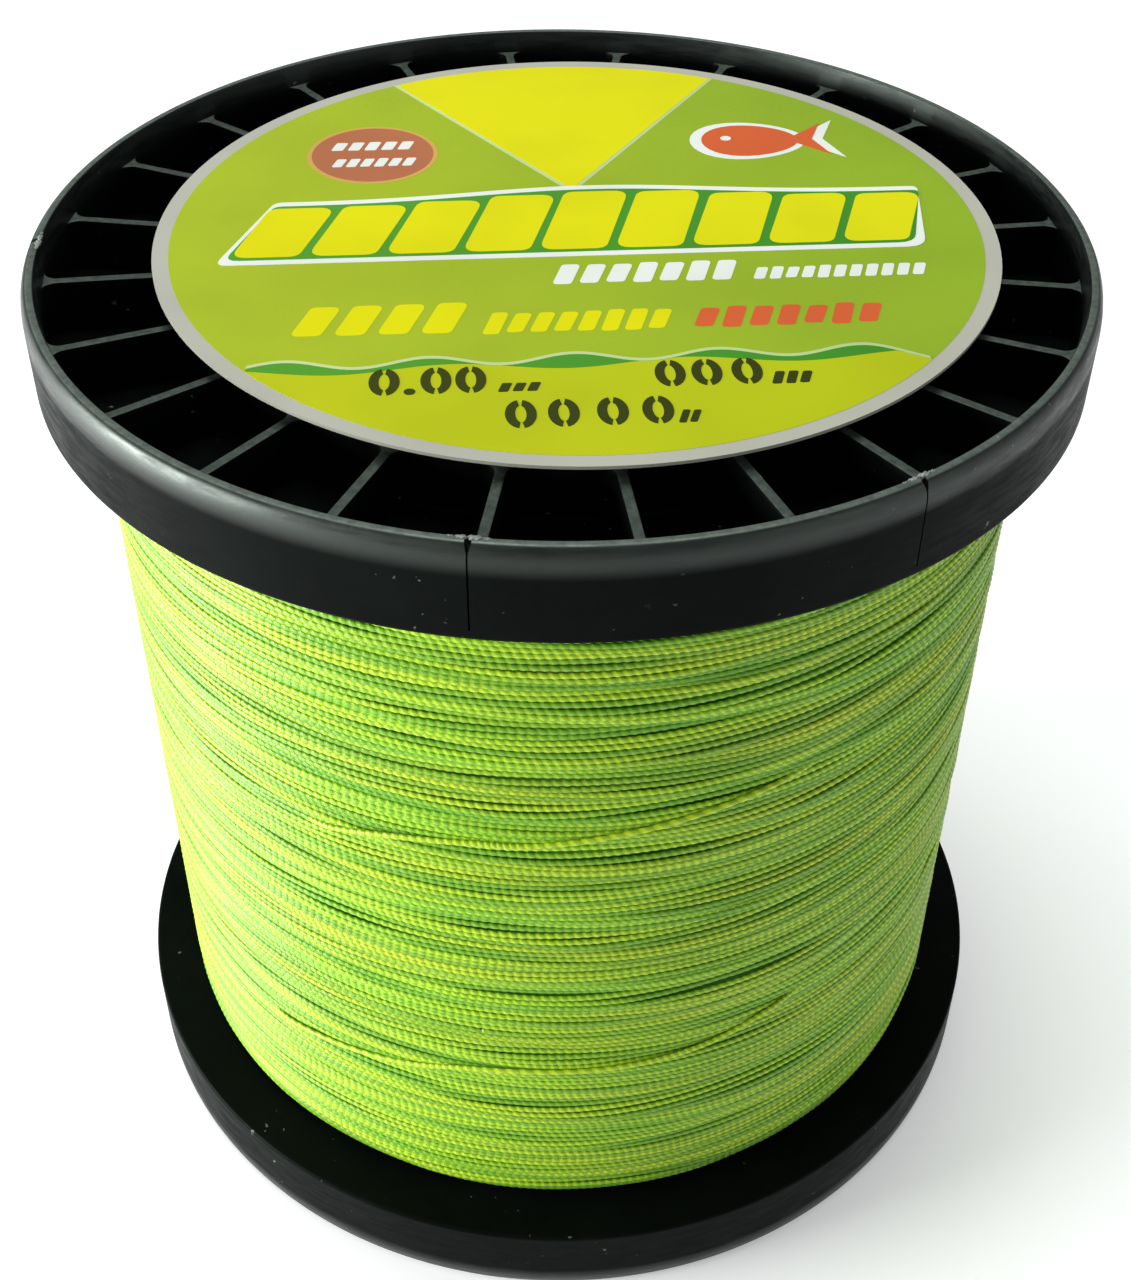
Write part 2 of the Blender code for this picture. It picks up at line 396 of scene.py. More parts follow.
def braid():
    """Lime braid with painted light and shade: grooves and sunken turns are darkened as painted shade,
    and the beads get a painted highlight. The look attribute holds painted shading (0 in a groove),
    streak with the painted shade of sunken turns, and hue of each turn.
    """
    made, tree, shader = material(
        "lime_braid",
        Specular_IOR_Level=0.60,
        Sheen_Weight=0.05,
        Sheen_Roughness=0.4,
    )
    shades = node(tree, "Attribute", attribute_name="look").outputs["Vector"]
    look = node(tree, "SeparateXYZ", {0: shades})
    painted_shading, streak_and_sink_shade, hue = (look.outputs[axis] for axis in "XYZ")
    fibre = node(tree, "Attribute", attribute_name="fibre").outputs["Vector"]
    split = node(tree, "SeparateXYZ", {0: fibre})
    slant = maths(tree, "MULTIPLY", split.outputs["Z"], PICK_SLANT)
    phase = maths(tree, "MULTIPLY", split.outputs["X"], math.pi)
    beat = maths(tree, "SINE", maths(tree, "ADD", phase, slant))
    bead = ramp(tree, beat, -0.5, 0.9, 0.16, 0.84)
    base = mix(tree, hue, rgba(0.18, 0.44, 0.001), rgba(0.28, 0.44, 0.002))
    # Painted shade: the colour darkens towards the sides of each strand and into the grooves.
    side = mix(tree, ramp(tree, painted_shading, 0.18, 0.80, smooth=False), rgba(0.065, 0.31, 0.0005), base)
    # Painted highlight: a pale colour on the beads where they face outwards, in place of glints.
    painted_bead_highlight = mix(tree, hue, rgba(0.49, 0.76, 0.008), rgba(0.60, 0.74, 0.010))
    lit = maths(tree, "MULTIPLY", bead, ramp(tree, painted_shading, 0.40, 0.85))
    highlighted_and_shaded = mix(tree, lit, side, painted_bead_highlight)
    # Darker streaks at random, and painted shade on turns that sink.
    streaked_and_shaded = mix(tree, ramp(tree, streak_and_sink_shade, 0.05, 0.95, 0.62, 0.0), highlighted_and_shaded, rgba(0.045, 0.26, 0.0005))
    drawn_out = node(tree, "Mapping", {"Vector": fibre, "Scale": (0.6, 4.0, 4.0)}).outputs[0]
    yarn = noise(tree, drawn_out, 1.0, 2.0)
    drive(tree, shader, Base_Color=streaked_and_shaded, Roughness=ramp(tree, yarn, 0.3, 0.7, 0.34, 0.50))
    relief = maths(tree, "ADD", bead, maths(tree, "MULTIPLY", yarn, 0.5))
    bump(tree, shader, relief, 0.8, 0.06 * MM)
    return made


def shaded_under_braid():
    """The layer below the outer turns, seen only between them, coloured a darker green than the lime
    braid as painted shade.
    """
    made, tree, shader = material("shaded_under_braid", Specular_IOR_Level=0.3)
    strands = noise(tree, object_place(tree, (1.0, 1.0, 14.0)), 120.0, 3.0)
    colour = mix(tree, strands, rgba(0.025, 0.20, 0.001), rgba(0.10, 0.38, 0.003))
    drive(tree, shader, Base_Color=colour, Roughness=ramp(tree, strands, 0.3, 0.7, 0.5, 0.65))
    bump(tree, shader, strands, 0.4, 0.1 * MM)
    return made


def ink(name, first, second=None, across=(1.0, 0.0), roughness=0.34):
    """Print with a fine halftone. Where a second colour is given it is darker, and the print turns to it
    across the label as painted shade.
    """
    made, tree, shader = material(name, Specular_IOR_Level=0.10)
    where = object_place(tree)
    split = node(tree, "SeparateXYZ", {0: where})
    along = maths(
        tree,
        "ADD",
        maths(tree, "MULTIPLY", split.outputs["X"], across[0]),
        maths(tree, "MULTIPLY", split.outputs["Y"], across[1]),
    )
    shade_across_label = ramp(tree, along, -0.9 * LABEL_RADIUS, 0.9 * LABEL_RADIUS)
    halftone = noise(tree, where, 2400.0, 1.0)
    mottle = maths(tree, "MULTIPLY", maths(tree, "SUBTRACT", halftone, 0.5), 0.22)
    colour = mix(tree, maths(tree, "ADD", shade_across_label, mottle), rgba(*first), rgba(*(second or first)))
    soiling = ramp(tree, noise(tree, where, 60.0), 0.35, 0.75, 0.0, 0.10)
    grade = mix(tree, soiling, colour, rgba(0.02, 0.03, 0.01))
    rough = ramp(tree, halftone, 0.2, 0.8, roughness - 0.05, roughness + 0.08)
    drive(tree, shader, Base_Color=grade, Roughness=rough)
    bump(tree, shader, noise(tree, where, 90.0), 0.12, 0.15 * MM)
    return made


def floor_finish():
    settings = {"Roughness": 0.75, "Specular_IOR_Level": 0.2, "Emission_Strength": 0.30}
    made, tree, shader = material("pale_floor", **settings)
    cloud = noise(tree, object_place(tree), 6.0, 3.0)
    drive(tree, shader, Base_Color=mix(tree, cloud, rgba(0.92, 0.92, 0.92), rgba(0.95, 0.95, 0.95)))
    return made


# ---------------------------------------------------------------- camera and studio

VIEW_DISTANCE = 3.105 * FLANGE_RADIUS
VIEW_HEIGHT = 3.592 * FLANGE_RADIUS
VIEW_PITCH = 0.6955
VIEW_YAW = 0.0035
VIEW_ROLL = 0.0069
SENSOR = 36.0
LENS = 50.88
SHIFT_UP = 0.0040


def add_camera():
    """Looks down at the label from the front, along the fitted line of sight."""
    forward = Vector((
        math.sin(VIEW_YAW) * math.cos(VIEW_PITCH),
        math.cos(VIEW_YAW) * math.cos(VIEW_PITCH),
        -math.sin(VIEW_PITCH),
    ))
    level = Vector((math.cos(VIEW_YAW), -math.sin(VIEW_YAW), 0.0))
    upright = level.cross(forward)
    side = math.cos(VIEW_ROLL) * level + math.sin(VIEW_ROLL) * upright
    top = math.cos(VIEW_ROLL) * upright - math.sin(VIEW_ROLL) * level
    data = bpy.data.cameras.new("camera")
    data.lens = LENS
    data.sensor_width = SENSOR
    data.shift_y = -SHIFT_UP
    camera = bpy.data.objects.new("camera", data)
    bpy.context.scene.collection.objects.link(camera)
    turn = Matrix((side, top, -forward)).transposed()
    camera.matrix_world = Matrix.Translation((0.0, -VIEW_DISTANCE, VIEW_HEIGHT)) @ turn.to_4x4()
    bpy.context.scene.camera = camera


def add_light(name, spot, width, height, power, colour):
    """A soft light that faces the middle of the spool."""
    data = bpy.data.lights.new(name, "AREA")
    data.shape = "RECTANGLE"
    data.size = width
    data.size_y = height
    data.energy = power
    data.color = colour
    light = bpy.data.objects.new(name, data)
    bpy.context.scene.collection.objects.link(light)
    light.location = spot
    towards = Vector((0.0, 0.0, HEIGHT / 2)) - Vector(spot)
    light.rotation_euler = towards.to_track_quat("-Z", "Y").to_euler()


def add_studio():
    scene = bpy.context.scene
    scene.view_settings.view_transform = "Standard"
    world = bpy.data.worlds.new("studio")
    world.use_nodes = True
    background = world.node_tree.nodes["Background"]
    background.inputs["Color"].default_value = rgba(0.95, 0.98, 1.0)
    background.inputs["Strength"].default_value = 0.26
    scene.world = world
    add_light("key_left", (-0.57, -0.12, 0.13), 0.34, 0.22, 6.6, (0.97, 1.0, 0.99))
    add_light("top", (-0.05, 0.12, 0.78), 0.40, 0.40, 3.3, (0.97, 0.99, 1.0))
    add_light("fill_right", (0.66, -0.42, 0.30), 0.50, 0.50, 0.75, (1.0, 1.0, 1.0))
    floor_size = 4.0
    floor = mesh_object(
        "floor",
        [(x * floor_size / 2, y * floor_size / 2, 0.0) for x, y in ((-1, -1), (1, -1), (1, 1), (-1, 1))],
        [(0, 1, 2, 3)],
        floor_finish(),
        smooth=False,
    )


# ---------------------------------------------------------------- flanges

EDGE = 0.15 * MM


def quarter_round(start, end, steps=10):
    """Points from start to end on an ellipse that leaves start sideways and meets end upright."""
    turns = np.linspace(0.0, math.pi / 2, steps)
    radii = start[0] + (end[0] - start[0]) * np.sin(turns)
    heights = end[1] + (start[1] - end[1]) * np.cos(turns)
    return list(zip(radii.tolist(), heights.tolist()))


def flange_section():
    """Half of the flange's section without its ribs, crest at height 0, pack side below."""
    hub, ring, bore = SPIGOT_RADIUS, SEAT_RING_RADIUS, BORE_RADIUS
    face, web = -HUB_FACE_DEPTH, -WEB_TOP_DEPTH
    small, soft = EDGE, 4 * EDGE
    crest = quarter_round((CREST_OUTER_RADIUS, 0.0), (FLANGE_RADIUS, -CREST_ROUND_DEPTH))
    corners = [
        (FLANGE_RADIUS, -RIM_DEPTH, 3 * EDGE),
        (hub, -RIM_DEPTH, small),
        (hub, -SPIGOT_END, soft),
        (hub - WALL, -SPIGOT_END, small),
        (hub - WALL, face - WALL, soft),
        (bore, face - WALL, small),
        (bore, face, small),
        (hub, face, small),
        (hub, web, soft),
        (ring - SEAT_RING_WALL, web, soft),
        (ring - SEAT_RING_WALL, face, small),
        (ring, face, small),
        (ring, web, soft),
        (RIM_INNER_RADIUS, web, soft),
        (RIM_INNER_RADIUS, -RIB_TOP_DEPTH, 0.0),
        (CREST_INNER_RADIUS, 0.0, small),
    ]
    outline = [*crest, *[corner[:2] for corner in corners]]
    radii = [0.0] * len(crest) + [corner[2] for corner in corners]
    return fillet(outline, radii)


def rib(name, inner, outer, top, flare):
    """One rib along +X with flared ends and rounded top edges."""
    half = RIB_THICKNESS / 2
    reach = 0.5 * MM
    bottom = -WEB_TOP_DEPTH - reach
    curve = np.linspace(0.0, 1.0, 6)
    ends = flare * (1 - np.cos(curve * math.pi / 2))
    stations = np.concatenate([[inner - reach], inner + ends, outer - ends[::-1], [outer + reach]])
    sections = []
    for place_out in stations:
        gap = min(place_out - inner, outer - place_out)
        away = np.clip(1 - max(gap, 0.0) / flare, 0.0, 1.0)
        wide = half + flare * (1 - math.sqrt(1 - away * away))
        low_edge, mid_edge = (wide, top - EDGE), (wide - 0.3 * EDGE, top - 0.3 * EDGE)
        side = [(wide, bottom), low_edge, mid_edge, (wide - EDGE, top)]
        section = side + [(-y, z) for y, z in reversed(side)]
        sections.append([(place_out, y, z) for y, z in section])
    made = loft(name, sections)
    outward(made)
    return made


def ring_of(name, first, angles):
    """Copies of the first object turned to each angle round Z, joined."""
    copies = []
    for angle in angles:
        copied = first.copy()
        copied.data = first.data.copy()
        copied.data.transform(Matrix.Rotation(angle, 4, "Z"))
        bpy.context.scene.collection.objects.link(copied)
        copies.append(copied)
    bpy.data.objects.remove(first)
    return joined(name, copies)


def slit_cutter():
    """A thin slot through the rim, along +X, that opens into a small V at the crest."""
    lip, half, bottom = 0.40 * MM, 0.07 * MM, -8.0 * MM
    v_depth = -0.8 * MM
    above = 0.4 * MM
    right = [(lip, above), (half, v_depth), (half, bottom)]
    outline = right + [(-y, z) for y, z in reversed(right)]
    ends = (RIM_INNER_RADIUS - 0.3 * MM, FLANGE_RADIUS + MM)
    cutter = loft("slit", [[(end, y, z) for y, z in outline] for end in ends])
    outward(cutter)
    return cutter


def make_flanges(finish):
    """The two flanges share one mesh. The lower one is turned over, like the real moulding."""
    upper = lathe("upper_flange_moulding", flange_section(), finish)
    rib_angles = [2 * math.pi * (index + 0.5) / RIB_COUNT for index in range(RIB_COUNT)]
    outer_rib = rib("rib", SEAT_RING_RADIUS, RIM_INNER_RADIUS, -RIB_TOP_DEPTH, 1.2 * MM)
    inner_rib = rib("rib", SPIGOT_RADIUS, SEAT_RING_RADIUS - SEAT_RING_WALL, -RIB_SEAT_DEPTH, 0.8 * MM)
    combine(upper, "UNION", ring_of("ribs", outer_rib, rib_angles))
    combine(upper, "UNION", ring_of("ribs", inner_rib, rib_angles))
    combine(upper, "DIFFERENCE", ring_of("slits", slit_cutter(), SLIT_ANGLES))
    upper.data.polygons.foreach_set("use_smooth", [True] * len(upper.data.polygons))
    upper.data.set_sharp_from_angle(angle=math.radians(32.0))
    weighted = upper.modifiers.new("even_shading", "WEIGHTED_NORMAL")
    weighted.keep_sharp = True
    apply_modifiers(upper)
    lower = bpy.data.objects.new("lower_flange_moulding", upper.data.copy())
    bpy.context.scene.collection.objects.link(lower)
    lower.data.transform(Matrix.Rotation(math.pi, 4, "X"))
    upper.data.transform(Matrix.Translation((0.0, 0.0, HEIGHT)))
    for piece, cad_node in ((upper, "upper_flange"), (lower, "lower_flange")):
        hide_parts(cad_node)
        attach(piece, BODY)


def make_flash(finish):
    """Small torn lumps of plastic beside the slits, on the crest's inner edge."""
    lumps = []
    for angle in SLIT_ANGLES:
        for side, size in ((-1.0, 0.34), (1.0, 0.42), (2.4, 0.26), (-2.6, 0.22)):
            shape = bmesh.new()
            bmesh.ops.create_icosphere(shape, subdivisions=3, radius=1.0)
            for vert in shape.verts:
                vert.co *= 1.0 + 0.25 * math.sin(5 * vert.co.x + 7 * vert.co.y + 9 * side)
                stretched = (vert.co.x * size * 0.7, vert.co.y * size * 1.5, vert.co.z * size * 0.45)
                vert.co = Vector(stretched) * MM
                vert.co += Vector((CREST_INNER_RADIUS + 0.1 * MM, side * 0.55 * MM, HEIGHT - 0.08 * MM))
            turn = Matrix.Rotation(angle, 3, "Z")
            bmesh.ops.rotate(shape, cent=(0, 0, 0), matrix=turn, verts=shape.verts)
            mesh = bpy.data.meshes.new("lump")
            shape.to_mesh(mesh)
            shape.free()
            lumps.append(place("lump", mesh, finish))
    flash = joined("rim_flash", lumps)
    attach(flash, BODY)


# ---------------------------------------------------------------- wound line

RING_ANGLES = np.radians([-90.0, -45.0, 0.0, 45.0, 90.0, 180.0])
LOBE_SIGNS = np.array([1, -1, 1, -1, 1, 1])
FRONT = -math.pi / 2


class Ripple:
    """A smooth random field over the pack's surface, of about unit size."""

    def __init__(self, count, most_around, shortest, longest):
        self.around = RANDOM.integers(-most_around, most_around + 1, count)[:, None]
        self.upward = (2 * math.pi / RANDOM.uniform(shortest, longest, count))[:, None]
        self.phase = RANDOM.uniform(0, 2 * math.pi, count)[:, None]

    def __call__(self, angle, height):
        waves = np.cos(self.around * angle + self.upward * height + self.phase)
        return waves.sum(axis=0) * math.sqrt(2.0 / len(self.around))


def write_vectors(mesh, name, columns):
    attribute = mesh.attributes.new(name, "FLOAT_VECTOR", "POINT")
    attribute.data.foreach_set("vector", np.stack(columns, axis=-1).reshape(-1).astype(np.float32))


def strand(name, angle, height, radius, streak_and_sink_shade, hue, finish, start=0):
    """One stretch of braid along a path in cylinder coordinates, sampled twice in each pick."""
    count = len(angle)
    out = np.stack([np.cos(angle), np.sin(angle), np.zeros(count)], axis=-1)
    centre = out * radius[:, None]
    centre[:, 2] = height
    beat = np.where((np.arange(count) + start) % 2 == 0, 1.0, -1.0)[:, None] * LOBE_SIGNS
    size = STRAND_RADIUS * (1.0 + 0.09 * beat)
    sideways = (size * np.cos(RING_ANGLES))[..., None] * out[:, None, :]
    upwards = np.zeros_like(sideways)
    upwards[..., 2] = size * np.sin(RING_ANGLES)
    points = centre[:, None, :] + sideways + upwards
    quads = grid_faces(count, len(RING_ANGLES), False, True)
    last = (count - 1) * len(RING_ANGLES)
    caps = [list(range(len(RING_ANGLES)))[::-1], [last + index for index in range(len(RING_ANGLES))]]
    mesh = fast_mesh(name, points.reshape(-1, 3), quads[:, ::-1], caps)
    # Painted light and shade: each strand is lighter on its upper outer face, darker towards its sides
    # and inner face, and darker where it sinks below its neighbours.
    painted_shading = 0.50 + 0.40 * np.cos(RING_ANGLES - 0.4) + 0.10 * beat
    painted_shading = painted_shading - 0.6 * np.clip((PACK_RADIUS - STRAND_RADIUS - radius) / MM, 0, 0.6)[:, None]
    shades = [painted_shading, *[shade[:, None] + 0 * painted_shading for shade in (streak_and_sink_shade, hue)]]
    write_vectors(mesh, "look", shades)
    along = (np.arange(count) + start)[:, None] + 0 * painted_shading
    write_vectors(mesh, "fibre", [along, np.cos(RING_ANGLES) + 0 * painted_shading, np.sin(RING_ANGLES) + 0 * painted_shading])
    made = place(name, mesh, finish)
    return made


LOOSE_SIDE = math.radians(-40.0)
GAP_HEIGHT = PACK_HIGH.z - 1.7 * MM
GAP_MIDDLE = FRONT + math.radians(22.0)


def gap_width(angle):
    """The turns part near the top, on the right of the front."""
    away = (angle - GAP_MIDDLE + math.pi) % (2 * math.pi) - math.pi
    return 0.75 * MM * np.exp(-((away / math.radians(17.0)) ** 2))


def make_turns(finish):
    """The outer layer: one continuous helix from flange to flange, in pieces that meet end to end."""
    level = PACK_RADIUS - STRAND_RADIUS
    first, last = PACK_LOW.z + STRAND_RADIUS, PACK_HIGH.z - STRAND_RADIUS
    turns = (last - first) / STRAND_PITCH
    samples = int(turns * 2 * math.pi * level / (PICK / 2))
    drift = Ripple(40, 7, 2.8 * MM, 12.0 * MM)
    waver = Ripple(30, 20, 1.3 * MM, 4.0 * MM)
    sink = Ripple(40, 8, 1.5 * MM, 6.0 * MM)
    streaks = Ripple(40, 7, 1.2 * MM, 3.0 * MM)
    hues = Ripple(30, 5, 1.2 * MM, 14.0 * MM)
    turn = np.linspace(0.0, turns, samples)
    pick_share = PICK / (2 * math.pi * level)
    turn = turn + 0.6 * pick_share * (np.sin(2.1 * turn) + np.sin(0.73 * turn + 1.0))
    angle = 2 * math.pi * turn
    height = first + STRAND_PITCH * turn
    step = STRAND_PITCH / 2
    crowding = drift(angle, height - step) - drift(angle, height + step)
    parity = np.cos(math.pi * turn)
    loose = 0.60 + 0.40 * np.cos(angle - LOOSE_SIDE)
    ride = CROWD_RISE * parity * np.clip(crowding, 0.0, 2.0)
    depth = SINK_DEPTH * loose * np.clip(sink(angle, height) - 0.1, 0.0, 2.2)
    edge = np.minimum(height - first, last - height)
    rounding = END_ROUNDING * np.exp(-edge / (0.9 * MM))
    radius = level + ride - depth - rounding
    fade = np.clip(edge / (1.5 * MM), 0.0, 1.0)
    # Painted shade: turns that sink get a lower streak value, so they are coloured darker.
    shaded = 0.30 * np.clip(sink(angle, height), 0, 2)
    streak_and_sink_shade = np.clip(0.62 + 0.38 * streaks(angle, height) - shaded, 0.0, 1.0)
    hue = np.clip(0.45 + 0.26 * hues(angle, height), 0.0, 1.0)
    below_gap = np.clip(GAP_HEIGHT - height, 0.0, None)
    parted = np.where(height < GAP_HEIGHT, gap_width(angle) * np.exp(-below_gap / (4.0 * MM)), 0.0)
    sway = SWAY * loose * drift(angle, height) + WAVER * waver(angle, height)
    height = height + fade * sway - parted
    for index in range(LINE_PIECES):
        low = index * samples // LINE_PIECES
        high = min((index + 1) * samples // LINE_PIECES + 1, samples)
        part = slice(low, high)
        piece = strand(
            f"line_turns_{index + 1}",
            angle[part],
            height[part],
            radius[part],
            streak_and_sink_shade[part],
            hue[part],
            finish,
            low,
        )
        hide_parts("line_pack")
        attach(piece, BODY)


# Turns that cross over the others, as (degrees to the right of the front, height in millimetres)
CROSSINGS = (
    ((-34, 59.6), (-28, 60.3), (-19, 62.0), (-10, 63.0), (-3, 63.3), (10, 64.9), (26, 67.1), (33, 67.6)),
    ((-45, 25.9), (-39, 26.4), (-21, 28.6), (-10, 30.5), (8, 31.3), (19, 32.4), (29, 34.6), (36, 35.4)),
    ((96, 41.0), (110, 43.0), (126, 44.2), (142, 46.9), (150, 47.4)),
    ((166, 70.4), (178, 72.4), (192, 73.4), (206, 76.0), (214, 76.4)),
    ((222, 20.6), (234, 22.0), (250, 24.8), (262, 25.4), (270, 25.6)),
)


def smooth_through(points, count):
    """Evenly spaced places on a smooth curve through the points."""
    knots = np.array(points, float)
    spans = np.linspace(0, len(knots) - 1, count)
    index = np.clip(spans.astype(int), 0, len(knots) - 2)
    t = (spans - index)[:, None]
    padded = np.vstack([2 * knots[0] - knots[1], knots, 2 * knots[-1] - knots[-2]])
    a, b, c, d = (padded[index + offset] for offset in range(4))
    square, cube = 2 * a - 5 * b + 4 * c - d, 3 * b - a - 3 * c + d
    return 0.5 * (2 * b + (c - a) * t + square * t**2 + cube * t**3)


def make_crossings(finish):
    for number, points in enumerate(CROSSINGS, start=1):
        length = math.hypot(
            math.radians(points[-1][0] - points[0][0]) * PACK_RADIUS, (points[-1][1] - points[0][1]) * MM
        )
        count = int(length / (PICK / 2))
        path = smooth_through(points, count)
        share = np.linspace(0.0, 1.0, count)
        lift = np.clip(np.sin(math.pi * share) * 2.2, 0.0, 1.0)
        radius = PACK_RADIUS - STRAND_RADIUS + (0.80 * lift - 0.40) * MM
        angle = FRONT + np.radians(path[:, 0])
        bright, green = np.ones(count), np.full(count, 0.75)
        piece = strand(f"crossing_turn_{number}", angle, path[:, 1] * MM, radius, bright, green, finish)
        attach(piece, BODY)


def make_under_layer(finish):
    """The rest of the pack, a ring whose outer face carries the grooves of the layer below."""
    bore = CORE_RADIUS + 0.8 * MM
    count = int((PACK_HIGH.z - PACK_LOW.z) / (STRAND_PITCH / 2))
    heights = np.linspace(PACK_HIGH.z, PACK_LOW.z, count)
    groove = 0.08 * MM * (-1.0) ** np.arange(count)
    edge = np.minimum(heights - PACK_LOW.z, PACK_HIGH.z - heights)
    radii = PACK_RADIUS - UNDER_LAYER_DEPTH + groove - 0.5 * MM * np.exp(-edge / MM)
    outline = [(bore, PACK_HIGH.z), *zip(radii.tolist(), heights.tolist()), (bore, PACK_LOW.z)]
    layer = lathe("line_under_layer", outline, finish, steps=120)
    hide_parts("line_pack")
    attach(layer, BODY)


# ---------------------------------------------------------------- label

ART_TILT = math.radians(4.0)
FIELD_RADIUS = 38.2
LAYER = 0.012 * MM
ART_SINK = 0.05 * MM


def circle(radius, steps=96, start=0.0, end=2 * math.pi):
    angles = np.linspace(start, end, steps, endpoint=end - start < 2 * math.pi)
    return [(radius * math.cos(angle), radius * math.sin(angle)) for angle in angles]


def artwork(name, shapes, layer, finish):
    """Printed shapes, given as outlines in millimetres from the label's centre, as one thin piece."""
    turn = Matrix.Rotation(ART_TILT, 2)
    solids = []
    for outline in shapes:
        area = sum(a[0] * b[1] - a[1] * b[0] for a, b in zip(outline, [*outline[1:], outline[0]]))
        ordered = outline if area > 0 else outline[::-1]
        placed = [tuple(turn @ Vector(point) * MM + LABEL_CENTRE.xy) for point in ordered]
        solids.append(prism(name, placed, LABEL_TOP - ART_SINK, LABEL_TOP + layer * LAYER, finish))
    piece = joined(name, solids) if len(solids) > 1 else solids[0]
    piece.name = name
    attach(piece, BODY)


def slanted_block(x, y, width, height, slant, radius, grow=0.0):
    """A leaning block with rounded corners, centred at x, y."""
    half_width, half_height = width / 2 + grow, height / 2 + grow
    lean = slant * half_height / (height / 2) / 2
    outline = [
        (x - half_width - lean, y - half_height),
        (x + half_width - lean, y - half_height),
        (x + half_width + lean, y + half_height),
        (x - half_width + lean, y + half_height),
    ]
    return fillet(outline, radius + grow, steps=6)


def moved(outline, x, y):
    return [(x + px, y + py) for px, py in outline]


def strap(upper, lower):
    """The outline between two rows of points that run left to right."""
    return [*lower, *reversed(upper)]


def upper_wave(x):
    """The height of the white wave, which runs off downwards at the label's right."""
    return -23.15 + 0.72 * math.cos(2 * math.pi * (x + 26.5) / 12.3) - 0.04 * max(x - 23.0, 0.0) ** 2


def lower_wave(x):
    return min(-24.45 - 0.6 * math.cos(2 * math.pi * (x + 2.5) / 19.8), upper_wave(x) - 0.45)


BAND_LEFT, BAND_RIGHT, BAND_BASE = -31.2, 33.0, -4.2
BLOCK_COUNT = 9


def block_height(x):
    """The motif is tallest near its middle."""
    return 9.7 + 2.0 * math.cos(math.pi * (x - 2.0) / 70.0) ** 4


def rope_blocks(grow):
    """A twisted-rope motif across the label, as a row of leaning rounded blocks."""
    pitch = (BAND_RIGHT - BAND_LEFT) / BLOCK_COUNT
    blocks = []
    for index in range(BLOCK_COUNT):
        x = BAND_LEFT + pitch * (index + 0.5)
        tall = block_height(x)
        blocks.append(slanted_block(x, BAND_BASE + tall / 2, 6.3, tall, 3.2, 1.3, grow))
    return blocks


def band_outline(grow):
    """One outline round the whole row of blocks."""
    across = np.linspace(BAND_LEFT + 2.4, BAND_RIGHT + 1.2, 40)
    upper = [(x, BAND_BASE + block_height(x) + grow) for x in across]
    left, right = BAND_LEFT - 1.2 - grow, BAND_RIGHT - 2.0 + grow
    corners = [(left, BAND_BASE - grow), (right, BAND_BASE - grow), *upper[::-1]]
    return fillet(corners, [1.0, 2.0, 2.0, *[0.0] * (len(upper) - 2), 2.0])


def dashes(left, right, y, height, count):
    """A row of small leaning dashes that fills the place of a line of print."""
    pitch = (right - left) / count
    heights = height * (0.80 + 0.20 * RANDOM.random(count))
    slant, radius = 0.3 * height, 0.12 * height
    return [
        slanted_block(left + pitch * (index + 0.5), y, 0.72 * pitch, heights[index], slant, radius)
        for index in range(count)
    ]


def stencil_zero(x, y, width=2.6, height=4.2, stroke=0.85):
    """A zero in two halves, as a stencil cuts it."""
    halves = []
    for start in (-80.0, 100.0):
        turns = np.radians(np.linspace(start, start + 160.0, 16))
        outer = [(x + width / 2 * math.cos(a), y + height / 2 * math.sin(a)) for a in turns]
        in_x, in_y = width / 2 - stroke, height / 2 - stroke
        inner = [(x + in_x * math.cos(a), y + in_y * math.sin(a)) for a in turns]
        halves.append([*outer, *reversed(inner)])
    return halves


def fish(scale):
    """A plain fish that swims left."""
    body_turns = np.linspace(0.30, 2 * math.pi - 0.30, 30)
    body = [(5.0 * math.cos(a) - 1.0, 3.6 * math.sin(a) * (1 - 0.15 * math.cos(a))) for a in body_turns]
    tail = [(6.9, -3.7), (5.5, 0.0), (6.9, 3.7)]
    return [(scale * x, scale * y) for x, y in [*body, *tail]]


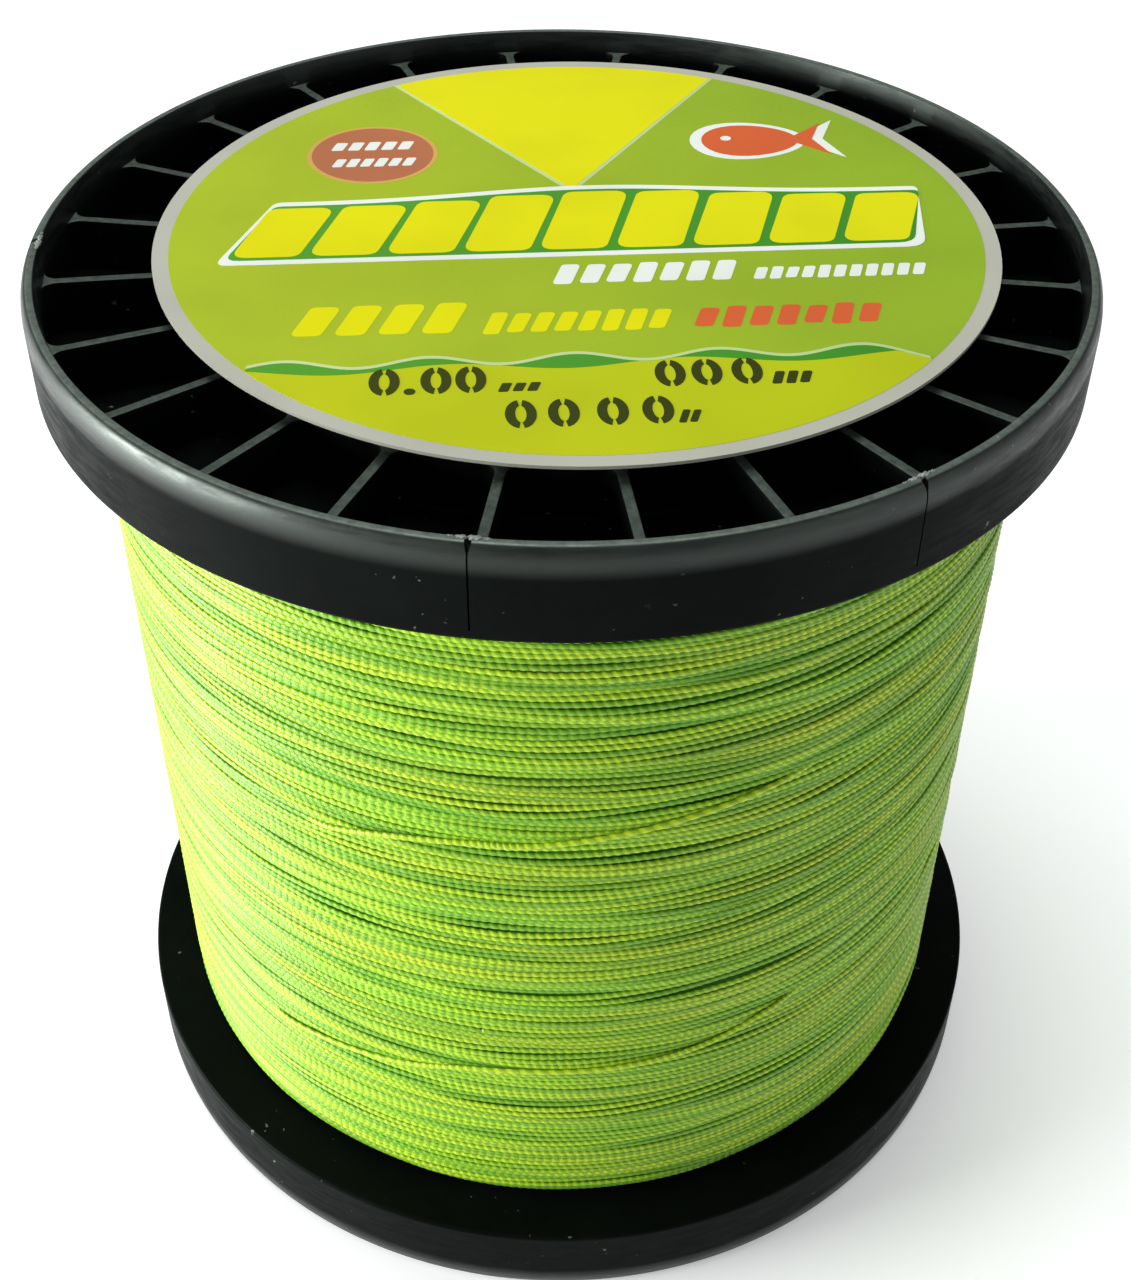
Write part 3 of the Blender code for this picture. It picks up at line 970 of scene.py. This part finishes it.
def make_label():
    """The card and its print. Sizes are in millimetres from the label's centre, Y towards its top."""
    card = ink("label_card", (0.50, 0.50, 0.42), (0.50, 0.50, 0.41), roughness=0.45)
    edge = [tuple(Vector(point) * MM + LABEL_CENTRE.xy) for point in circle(LABEL_RADIUS / MM, 180)]
    disc = prism("label_card", edge, LABEL_LOW.z, LABEL_TOP, card)
    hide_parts("upper_label")
    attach(disc, BODY)

    # Each ink's second colour is darker: painted shade towards the label's right.
    green = ink("print_green", (0.43, 0.54, 0.022), (0.30, 0.46, 0.022), across=(0.9, 0.25))
    lime = ink("print_lime", (0.55, 0.60, 0.008), (0.50, 0.57, 0.006))
    yellow = ink("print_yellow", (0.82, 0.78, 0.0005), (0.78, 0.76, 0.0005))
    white = ink("print_white", (0.88, 0.92, 0.84))
    leaf = ink("print_leaf", (0.10, 0.36, 0.03), (0.05, 0.28, 0.02))
    pale = ink("print_pale", (0.62, 0.74, 0.35), (0.50, 0.66, 0.28))
    brown = ink("print_brown", (0.50, 0.17, 0.075))
    gold = ink("print_gold", (0.68, 0.42, 0.10))
    orange = ink("print_orange", (0.72, 0.13, 0.035))
    olive = ink("print_olive", (0.050, 0.065, 0.004), (0.035, 0.045, 0.003))

    artwork("label_field", [circle(FIELD_RADIUS, 180)], 1, green)

    wedge_half = math.radians(27.1)
    up, edge_turn = math.pi / 2, 0.009
    rim_arc = circle(FIELD_RADIUS, 24, up - wedge_half, up + wedge_half)
    artwork("label_wedge_edge", [[(0.1, 7.4), *rim_arc]], 2, pale)
    inner_arc = circle(FIELD_RADIUS, 24, up - wedge_half + edge_turn, up + wedge_half - edge_turn)
    artwork("label_wedge", [[(0.1, 8.2), *inner_arc]], 3, yellow)

    across = np.linspace(-29.6, 28.3, 90)
    wave = [(x, upper_wave(x)) for x in across]
    hollow = [(x, lower_wave(x)) for x in across]
    first_turn = math.atan2(hollow[0][1], hollow[0][0])
    last_turn = math.atan2(hollow[-1][1], hollow[-1][0])
    low_arc = circle(FIELD_RADIUS, 60, first_turn, last_turn)
    artwork("label_lower_field", [[*low_arc, *reversed(hollow)]], 2, lime)
    artwork("label_wave_shade", [strap(wave, hollow)], 3, leaf)
    artwork("label_wave_line", [strap(wave, [(x, y - 0.45) for x, y in wave])], 4, pale)

    artwork("label_rope_outline", [band_outline(1.35)], 4, white)
    artwork("label_rope_shade", [band_outline(0.5)], 5, leaf)
    artwork("label_rope", rope_blocks(0.0), 6, yellow)

    badge = (-19.5, 17.1)
    artwork("label_badge_edge", [moved(circle(6.6, 48), *badge)], 2, gold)
    artwork("label_badge", [moved(circle(6.15, 48), *badge)], 3, brown)
    rows = dashes(badge[0] - 4.2, badge[0] + 4.2, badge[1] + 1.9, 2.0, 5)
    rows += dashes(badge[0] - 4.0, badge[0] + 4.4, badge[1] - 1.9, 2.0, 6)
    artwork("label_badge_dashes", rows, 4, white)

    fish_place = (20.2, 18.2)
    artwork("label_fish_outline", [moved(fish(1.20), *fish_place)], 2, white)
    artwork("label_fish", [moved(fish(1.0), *fish_place)], 3, orange)
    eye = moved(circle(0.55, 20), fish_place[0] - 3.4, fish_place[1] + 0.6)
    artwork("label_fish_eye", [eye], 4, white)

    row = dashes(-2.8, 14.1, -8.9, 3.8, 7) + dashes(15.4, 31.5, -9.7, 2.4, 11)
    artwork("label_dashes_white", row, 2, white)
    row = dashes(-25.9, -10.9, -16.1, 5.9, 4) + dashes(-9.4, 7.1, -17.3, 3.7, 8)
    artwork("label_dashes_yellow", row, 2, yellow)
    artwork("label_dashes_orange", dashes(9.0, 25.9, -17.3, 3.7, 7), 2, orange)

    zeros = []
    for x in (-18.0, -13.7, -10.8):
        zeros += stencil_zero(x, -26.4)
    for x in (5.9, 9.0, 12.4):
        zeros += stencil_zero(x, -26.4)
    for x in (-6.9, -3.4, 0.6, 4.3):
        zeros += stencil_zero(x, -31.9)
    zeros.append(moved(circle(0.5, 12), -15.9, -28.0))
    zeros += dashes(-8.6, -5.0, -27.8, 1.5, 3) + dashes(14.3, 17.8, -27.6, 2.0, 3)
    zeros += dashes(5.9, 7.7, -33.0, 2.0, 2)
    artwork("label_zeros", zeros, 4, olive)


def make_inside():
    """Better finishes for the CAD pieces that show only through the bore."""
    for name, finish in (("core_tube", core_plastic()), ("start_tape", tape_film())):
        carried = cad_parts[name]
        carried.data.materials.clear()
        carried.data.materials.append(finish)


def main():
    add_camera()
    add_studio()
    make_flanges(black_plastic())
    make_flash(pale_flash())
    make_inside()
    make_under_layer(shaded_under_braid())
    lime = braid()
    make_turns(lime)
    make_crossings(lime)
    make_label()


main()
